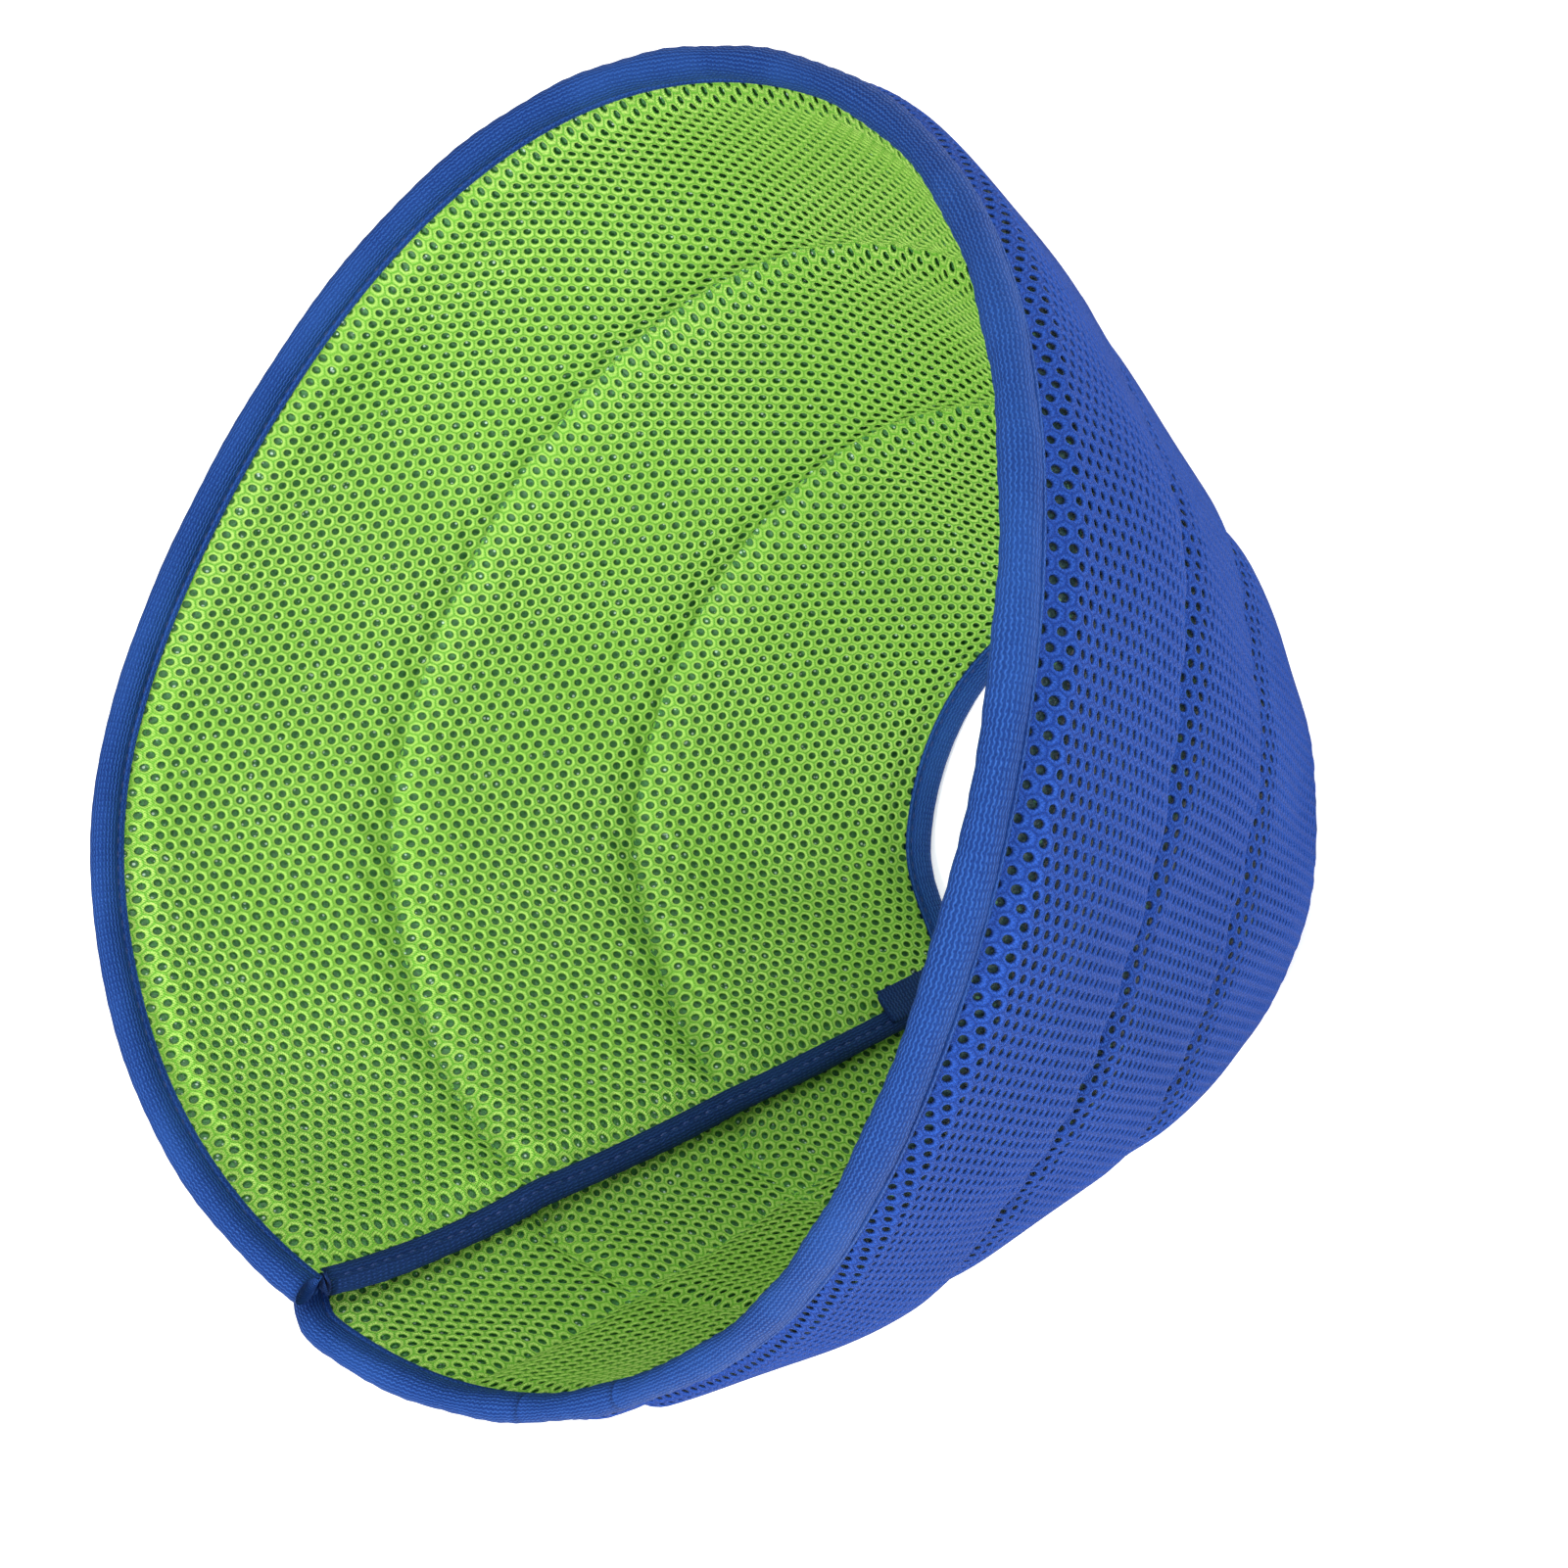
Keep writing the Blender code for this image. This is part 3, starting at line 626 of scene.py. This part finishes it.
# Half sections of the folded tapes in millimetres: inward from the edge, and out from the panel's middle.
EDGE_SECTION = ((5.92, 1.6), (6, 2.25), (5.84, 2.6), (5.44, 2.72), (4.96, 2.66), (4.64, 2.4), (4.4, 2.12),
                (4.2, 2.35), (3.92, 2.8), (3.36, 3.2), (2.48, 3.42), (1.44, 3.46), (0.4, 3.3), (-0.56, 2.8),
                (-1.28, 2), (-1.72, 1.05))
END_SECTION = ((4.59, 1.47), (4.65, 2.12), (4.46, 2.53), (3.97, 2.81), (3.29, 2.96), (2.6, 2.98),
               (1.98, 2.87), (1.55, 2.63), (1.27, 2.35), (1.08, 2.23), (0.87, 2.39), (0.5, 2.58),
               (0.06, 2.52), (-0.43, 2.21), (-0.87, 1.66), (-1.18, 0.87))
EDGE_GROOVE, END_GROOVE = 6, 9       # the point of each section in its stitched groove, lining side
TAPE_STEP = 0.0022                   # from one section of a tape to the next
END_CLEAR = 0.0072                   # from the mouth and neck edges to the ends of the inner end's tape


def section(half_points):
    """Closed section of a folded tape, lining side first, in (inward, outward) metres."""
    lining = [(along, -out) for along, out in half_points]
    leg = half_points[0][0]
    tucked = [(leg - 2.4, 1.2), (-0.7, 1.1), (-0.7, -1.1), (leg - 2.4, -1.2)]
    return np.array(lining + [(half_points[-1][0] - 0.2, 0.0)] + list(half_points[::-1]) + tucked) / 1000.0


def tape_points(angle, share, shape, floor):
    """Section points of a tape folded over an edge; the panel is on the path's left."""
    middle = place(angle, share)
    ahead = np.gradient(middle, axis=0)
    ahead /= np.linalg.norm(ahead, axis=1, keepdims=True)
    inward = np.cross(normals(angle, share, 1.0), ahead)
    per_degree = (place(angle + 0.05, share) - place(angle - 0.05, share)) / 0.1
    per_share = (place(angle, share + 0.001) - place(angle, share - 0.001)) / 0.002
    aa, bb, ab = (np.sum(u * v, axis=1)
                  for u, v in ((per_degree,) * 2, (per_share,) * 2, (per_degree, per_share)))
    a, b = (np.sum(u * inward, axis=1) for u in (per_degree, per_share))
    scale = aa * bb - ab * ab
    turn, climb = (a * bb - b * ab) / scale, (b * aa - a * ab) / scale
    arc = np.concatenate(([0.0], np.cumsum(np.linalg.norm(np.diff(middle, axis=0), axis=1))))
    along, out = shape[None, :, 0], shape[None, :, 1]
    roll = smooth((0.0052 - along) / 0.003) * np.sign(out)
    plump = 0.00012 * np.sin(arc / 0.0011) + 0.00022 * np.sin(arc / 0.0063 + 1.3 * np.sin(arc / 0.031))
    points = place(angle[:, None] + turn[:, None] * along, share[:, None] + climb[:, None] * along,
                   out + plump[:, None] * roll)
    if floor is not None:
        points[..., 2] = np.maximum(points[..., 2], floor)
    return points, arc


def tape(name, region, angle, share, finish, slot, stands_for, floor=None, half_points=EDGE_SECTION,
         groove=EDGE_GROOVE):
    """One length of binding; gives back the points and normals of its stitched groove."""
    shape = section(half_points)
    points, arc = tape_points(angle, share, shape, floor)
    rings, around = points.shape[:2]
    side = np.concatenate(([0.0], np.cumsum(np.hypot(*np.diff(shape, axis=0).T))))
    cloth = np.stack(np.broadcast_arrays(arc[:, None], side[None], np.zeros((1, 1))), -1).reshape(-1, 3)
    k = np.arange(1, around - 1)
    cap = np.stack((np.zeros_like(k), k, k + 1), -1)
    quads = grid_faces(rings, around, True)
    far_cap = cap[:, (0, 2, 1)] + (rings - 1) * around
    tris = np.vstack((quads[:, (0, 1, 2)], quads[:, (0, 2, 3)], cap, far_cap))
    piece = mesh_object(name, points.reshape(-1, 3), tris, finish, cloth=cloth)
    settle(piece, region, slot, stands_for)
    normal = normals(angle, share, -1.0)
    return points[:, groove], normal


def edge_path(region, share):
    """Angles of one stretch along the mouth or neck edge, from high angle to low."""
    (low, low_run), (high, high_run) = LIMITS[region]
    first, last = float(column(low, low_run, share)), float(column(high, high_run, share))
    radius = float(profile(np.array(share))[0])
    angle = np.linspace(last, first, max(int(math.radians(last - first) * radius / TAPE_STEP), 4))
    return angle, np.full(len(angle), share)


def flap_outline():
    """Outline of the flap's end stretch: mouth edge, rounded corner, end, rounded corner, neck edge."""
    sweep = np.radians(np.linspace(90.0, 180.0, 10)[1:-1])
    corner = np.stack((FLAP_CORNER + FLAP_CORNER * np.cos(sweep),
                       FLAP_CORNER - FLAP_CORNER * np.sin(sweep)), -1)
    path = [(run, SPAN - drop) for run, drop in corner]
    path += [(0.0, rise) for rise in np.linspace(SPAN - FLAP_CORNER, FLAP_CORNER, 84)]
    path += [(run, drop) for run, drop in corner[::-1]]
    run, rise = np.array(path).T
    share = rise / SPAN
    angle = column(FLAP_END, run, share)
    start, stop = (float(column(FLAP_END, FLAP_CORNER, edge)) for edge in (1.0, 0.0))
    mouth_run = math.radians(BETWEEN_FOLDS[0] - start) * STATIONS[3, 0]
    neck_run = math.radians(BETWEEN_FOLDS[1] - stop) * STATIONS[0, 0]
    at_mouth = np.linspace(BETWEEN_FOLDS[0], start, max(int(mouth_run / TAPE_STEP), 4))
    at_neck = np.linspace(stop, BETWEEN_FOLDS[1], max(int(neck_run / TAPE_STEP), 4))
    angles = np.concatenate((at_mouth, angle, at_neck))
    shares = np.concatenate((np.ones(len(at_mouth)), share, np.zeros(len(at_neck))))
    return angles, shares


def bindings():
    """All tapes; gives back the stitched groove of each."""
    grooves = {}
    for edge, share, floor in (("rim", 1.0, None), ("neck", 0.0, 0.0)):
        for region in ("body", "fold"):
            angle, shares = edge_path(region, share)
            if edge == "neck":
                angle = angle[::-1]
            label = f"{edge}_binding_{region}"
            grooves[label] = tape(f"{edge}_tape_{region}", region, angle, shares, TAPE, "binding", [label],
                                  floor)
    grooves["flap_end_binding"] = tape("flap_end_tape", "end", *flap_outline(), TAPE, "binding",
                                       ["flap_end_binding"], 0.0)
    clear = END_CLEAR / SPAN
    share = np.linspace(clear, 1.0 - clear, 86)
    grooves["inner_end_binding"] = tape("inner_end_tape", "body", seam_angle(INNER_END, share), share,
                                        END_TAPE, "end_binding", ["inner_end_binding"],
                                        half_points=END_SECTION, groove=END_GROOVE)
    return grooves


# --- stitches ----------------------------------------------------------------------------------------------

STITCH, STITCH_GAP, THREAD = 0.0026, 0.0009, 0.00034


def stitch_row(points, normal):
    """Separate lockstitches along a line: short rounded threads that dive in at both ends."""
    arc = np.concatenate(([0.0], np.cumsum(np.linalg.norm(np.diff(points, axis=0), axis=1))))
    count = int(arc[-1] / (STITCH + STITCH_GAP))
    middle = (np.arange(count) + 0.5) * (STITCH + STITCH_GAP)
    origin = np.stack([np.interp(middle, arc, points[:, k]) for k in range(3)], -1)
    ahead = np.stack([np.interp(middle + 0.001, arc, points[:, k]) for k in range(3)], -1)
    behind = np.stack([np.interp(middle - 0.001, arc, points[:, k]) for k in range(3)], -1)
    z_axis = ahead - behind
    z_axis /= np.linalg.norm(z_axis, axis=1, keepdims=True)
    up = np.stack([np.interp(middle, arc, normal[:, k]) for k in range(3)], -1)
    x_axis = np.cross(up, z_axis)
    x_axis /= np.linalg.norm(x_axis, axis=1, keepdims=True)
    y_axis = np.cross(z_axis, x_axis)
    reach = STITCH / 2.0
    shape, faces = spun([(-reach, 0), (-0.92 * reach, 0.6 * THREAD), (-0.55 * reach, THREAD),
                         (0.0, 1.08 * THREAD), (0.55 * reach, THREAD), (0.92 * reach, 0.6 * THREAD),
                         (reach, 0)], 7)
    shape[:, 1] = shape[:, 1] * 0.8 - 0.00042 * (shape[:, 2] / reach) ** 2
    return repeat(shape, faces, origin, x_axis, y_axis, z_axis)


def stitches(name, region, rows, finish, slot, stands_for):
    """One object from several rows of stitches."""
    points, faces = [], []
    for line, normal in rows:
        made, tris = stitch_row(line, normal)
        faces.append(tris + sum(len(p) for p in points))
        points.append(made)
    piece = mesh_object(name, np.vstack(points), np.vstack(faces), finish)
    settle(piece, region, slot, stands_for)


def on_face(angle, share, side):
    """Points and normals of a line of stitches on a mesh face."""
    return face(angle, share, side, 0.00022), normals(angle, share, side)


def seam_stitches():
    """Threads of the quilting seams and the fold seams, top and bobbin."""
    sides = ((1.0, "top", BLUE_THREAD, "thread_top"), (-1.0, "bobbin", GREEN_THREAD, "thread_bobbin"))
    inset = BINDING_LEG + 0.001
    clear = inset / SPAN
    for side, side_name, finish, slot in sides:
        for seam_name, share in (("lower", 1 / 3), ("upper", 2 / 3)):
            for region, ((low, low_run), (high, high_run)) in LIMITS.items():
                first = float(column(low, low_run + (inset if low is FLAP_END else 0.0), share))
                last = float(column(high, high_run - (inset if high is INNER_END else 0.0), share))
                angle = np.linspace(first, last, max(int((last - first) * 1.6), 6))
                row = on_face(angle, np.full(len(angle), share), side)
                name = f"{seam_name}_seam_{side_name}"
                stitches(f"{name}_stitches_{region}", region, [row], finish, slot,
                         [f"{name}_thread_{region}"])
        for fold, region, label in ((FOLD_B, "fold", "fold_b"), (FOLD_A, "end", "fold_a")):
            share = np.linspace(clear, 1.0 - clear, 90)
            row = on_face(seam_angle(fold, share), share, side)
            stitches(f"{label}_{side_name}_stitches", region, [row], finish, slot,
                     [f"{label}_{side_name}_thread_seam"])


def edge_stitches(grooves):
    """Threads in the bindings' grooves."""
    def lifted(label):
        points, normal = grooves[label]
        return points + normal * 0.00010, normal
    stands = {"rim_binding_body": ["rim_binding_thread"], "neck_binding_body": ["neck_binding_thread"],
              "inner_end_binding": ["inner_end_thread"]}
    for label in grooves:
        region = "fold" if label.endswith("fold") else "end" if label.startswith("flap") else "body"
        stitches(f"{label}_stitches", region, [lifted(label)], EDGE_THREAD, "thread_edge",
                 stands.get(label, []))


# --- hook tapes and the corner tab -------------------------------------------------------------------------

HOOK_WIDTH, HOOK_BASE, HOOK_PITCH = 0.025, 0.0006, 0.0017
HOOK_START = 236.0                   # angle at the mouth edge where the hook tapes begin


def rounded_patch(name, at, size, corner, low, high, finish, step=0.0015):
    """Thin slab with rounded corners; at(x, y) gives angle and share for places in metres on the patch."""
    wide, tall = size
    x, y = np.linspace(0.0, wide, int(wide / step) + 2), np.linspace(0.0, tall, int(tall / step) + 2)
    x, y = np.meshgrid(x, y)
    for cx, sx in ((corner, -1.0), (wide - corner, 1.0)):
        for cy, sy in ((corner, -1.0), (tall - corner, 1.0)):
            dx, dy = np.maximum((x - cx) * sx, 0.0), np.maximum((y - cy) * sy, 0.0)
            far = np.maximum(np.hypot(dx, dy), 1e-9)
            pull = np.where((dx > 0.0) & (dy > 0.0), np.maximum(dx, dy) / far, 1.0)
            x, y = np.where(pull < 1.0, cx + sx * dx * pull, x), np.where(pull < 1.0, cy + sy * dy * pull, y)
    angle, share = at(x, y)
    inner = np.minimum(np.minimum(x, wide - x), np.minimum(y, tall - y))
    crown = np.where(inner < 0.0004, 0.35, 1.0)
    bottom, top = low(angle, share), low(angle, share) + (high(angle, share) - low(angle, share)) * crown
    points = np.vstack([place(angle, share, depth).reshape(-1, 3) for depth in (bottom, top)])
    faces = slab_faces(*x.shape)
    faces = faces if float(np.mean(top)) > float(np.mean(bottom)) else faces[:, ::-1]
    cloth = np.stack((x, y, np.zeros_like(x)), -1).reshape(-1, 3)
    return mesh_object(name, points, faces, finish, cloth=np.vstack((cloth, cloth)))


def hook_tapes():
    """Hook tapes on the outside of the inner end, one in each band."""
    hook, hook_faces = spun([(0.0, 0.0), (0.0, 0.00030), (0.0005, 0.00020), (0.00075, 0.00022),
                             (0.00085, 0.00046), (0.00100, 0.00040), (0.00108, 0.0)], 6)
    for band, band_name in enumerate(BANDS):
        middle = (band + 0.5) / 3.0
        radius = float(profile(np.array(middle))[0])
        first = HOOK_START - 6.0 * (1.0 - middle)
        last = float(column(INNER_END, -(BINDING_LEG + 0.004), middle))
        wide = math.radians(last - first) * radius

        def at(x, y, middle=middle, first=first, radius=radius):
            share = middle + (y - HOOK_WIDTH / 2.0) / SPAN
            shear = seam_angle(INNER_END, share) - seam_angle(INNER_END, middle)
            return first + np.degrees(x / radius) + shear, share

        def low(angle, share):
            return half(angle, share, 1.0) + sway(angle, share) + 0.0001

        base = rounded_patch(f"hook_base_{band_name}", at, (wide, HOOK_WIDTH), 0.0025, low,
                             lambda a, s: low(a, s) + HOOK_BASE, HOOKS)
        settle(base, "body", "hook_tape", [f"hook_tape_{band_name}"])
        x, y = np.meshgrid(np.arange(0.0025, wide - 0.002, HOOK_PITCH),
                           np.arange(0.002, HOOK_WIDTH - 0.0015, HOOK_PITCH))
        x = x + (np.arange(len(x)) % 2)[:, None] * HOOK_PITCH / 2.0
        angle, share = (v.ravel() for v in at(x, y))
        origin = place(angle, share, low(angle, share) + HOOK_BASE - 0.0001)
        z_axis = normals(angle, share, 1.0)
        x_axis = place(angle + 0.1, share) - place(angle, share)
        x_axis /= np.linalg.norm(x_axis, axis=1, keepdims=True)
        y_axis = np.cross(z_axis, x_axis)
        points, faces = repeat(hook, hook_faces, origin, x_axis, y_axis, z_axis)
        settle(mesh_object(f"hook_pile_{band_name}", points, faces, HOOKS), "body", "hook_tape")


def corner_tab():
    """The binding's end, folded over the inner end's neck corner on the lining side."""
    def at(x, y):
        share = (0.0085 + y) / SPAN
        return column(INNER_END, x - 0.0112, share), share
    tab = rounded_patch("corner_tab", at, (0.0118, 0.0150), 0.0012, lambda a, s: np.full(a.shape, -0.0030),
                        lambda a, s: np.full(a.shape, -0.0044), END_TAPE, 0.0008)
    settle(tab, "body", "end_binding", ["neck_corner_tab"])


# --- camera, floor and light -------------------------------------------------------------------------------

def aimed(position, target):
    """Rotation that points an object at a target."""
    return (Vector(target) - Vector(position)).to_track_quat("-Z", "Y").to_euler()


def camera():
    """The main camera."""
    data = bpy.data.cameras.new("camera")
    data.sensor_width = 36.0
    data.lens = 59.6
    right, up, back = (0.54923, 0.41133, -0.72743), (-0.51227, 0.85346, 0.09581), (0.66024, 0.32002, 0.67946)
    made = bpy.data.objects.new("camera", data)
    turned = Matrix((right, up, back)).transposed().to_4x4()
    made.matrix_world = Matrix.Translation((0.4033, 0.1999, 0.5303)) @ turned
    bpy.context.scene.collection.objects.link(made)
    bpy.context.scene.camera = made


def soft_light(name, position, target, size, power):
    """A round area light aimed at a target."""
    data = bpy.data.lights.new(name, "AREA")
    data.shape = "DISK"
    data.size = size
    data.energy = power
    made = bpy.data.objects.new(name, data)
    made.location = position
    made.rotation_euler = aimed(position, target)
    bpy.context.scene.collection.objects.link(made)


def studio():
    """White paper floor, even surroundings and three soft lights."""
    bpy.context.scene.view_settings.view_transform = "Standard"
    world = bpy.data.worlds.new("studio")
    bpy.context.scene.world = world
    world.use_nodes = True
    ground = world.node_tree.nodes["Background"]
    ground.inputs["Color"].default_value = (1.0, 1.0, 1.0, 1.0)
    ground.inputs["Strength"].default_value = 0.50
    made = Finish("floor_paper", 0.9, specular=0.2)
    spot = made.node("TexCoord").outputs["Object"]
    grain = made.noise(spot, 60.0, 3.0)
    made.colour(made.mix(made.spread(grain, 0.3, 0.7), (0.86, 0.86, 0.86), (0.89, 0.89, 0.89)))
    made.bump(grain, 0.0002, 0.2)
    made.shader.inputs["Emission Color"].default_value = (1.0, 1.0, 1.0, 1.0)
    made.shader.inputs["Emission Strength"].default_value = 0.55
    reach, level = 4.0, -0.0004
    points = np.array([(x * reach, y * reach, level) for x, y in ((-1, -1), (1, -1), (1, 1), (-1, 1))])
    mesh_object("floor", points, np.array(((0, 1, 2, 3),)), made.material)
    centre = (0.0, 0.0, 0.11)
    soft_light("key", (0.55, -0.70, 1.10), centre, 0.40, 18.0)
    soft_light("front", (0.85, 0.45, 0.75), centre, 0.8, 7.0)
    soft_light("fill", (0.25, 0.80, 0.95), centre, 0.6, 5.5)


camera()
studio()
cloths("lining_mesh", -1.0, *LINING_HOLES, LINING, LINING_SPACER)
cloths("outer_mesh", 1.0, *OUTER_HOLES, OUTER, OUTER_SPACER)
pads()
grooves = bindings()
seam_stitches()
edge_stitches(grooves)
hook_tapes()
corner_tab()
